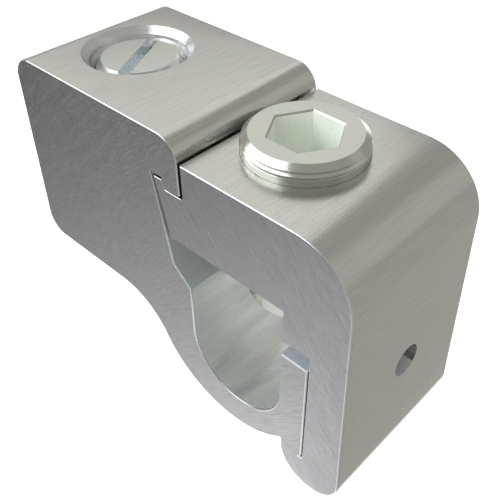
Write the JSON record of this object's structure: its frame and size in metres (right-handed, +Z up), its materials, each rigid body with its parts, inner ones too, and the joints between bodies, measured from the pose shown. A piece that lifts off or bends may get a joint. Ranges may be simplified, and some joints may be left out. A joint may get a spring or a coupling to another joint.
{
  "type": "t-tap connector",
  "caption": "Two-piece clamp connector: a tap block with a U-shaped channel and a hooked clamp cap, each with a set screw for its conductor.",
  "frame": {"origin": "on the axis of the run conductor's channel, at the middle of the sawn width", "axes": "+Z up, the way both screws leave; +X from the tap block towards the clamp cap; Y along the run conductor"},
  "size_m": [0.0597, 0.0254, 0.0457],
  "materials": {
    "tap_body": "mill finish, sawn ends",
    "clamp_cap": "mill finish, sawn ends",
    "run_screw": "zinc plated, pale green and yellow tint",
    "tap_screw": "zinc plated, pale green tint"
  },
  "bodies": {
    "block": {"tap_body": "tap_body"},
    "cap": {"clamp_cap": "clamp_cap"},
    "run_screw": {"run_screw": "run_screw"},
    "tap_screw": {"tap_screw": "tap_screw"}
  },
  "joints": [
    {"name": "cap_slide", "type": "slide", "parent": "block", "child": "cap", "axis": [0, 1, 0], "range_m": [-0.026, 0.026]},
    {"name": "run_screw_travel", "type": "slide", "parent": "cap", "child": "run_screw", "axis": [0, 0, 1], "range_m": [-0.007, 0.006]},
    {"name": "tap_screw_travel", "type": "slide", "parent": "block", "child": "tap_screw", "axis": [0, 0, 1], "range_m": [-0.007, 0.002]}
  ]
}
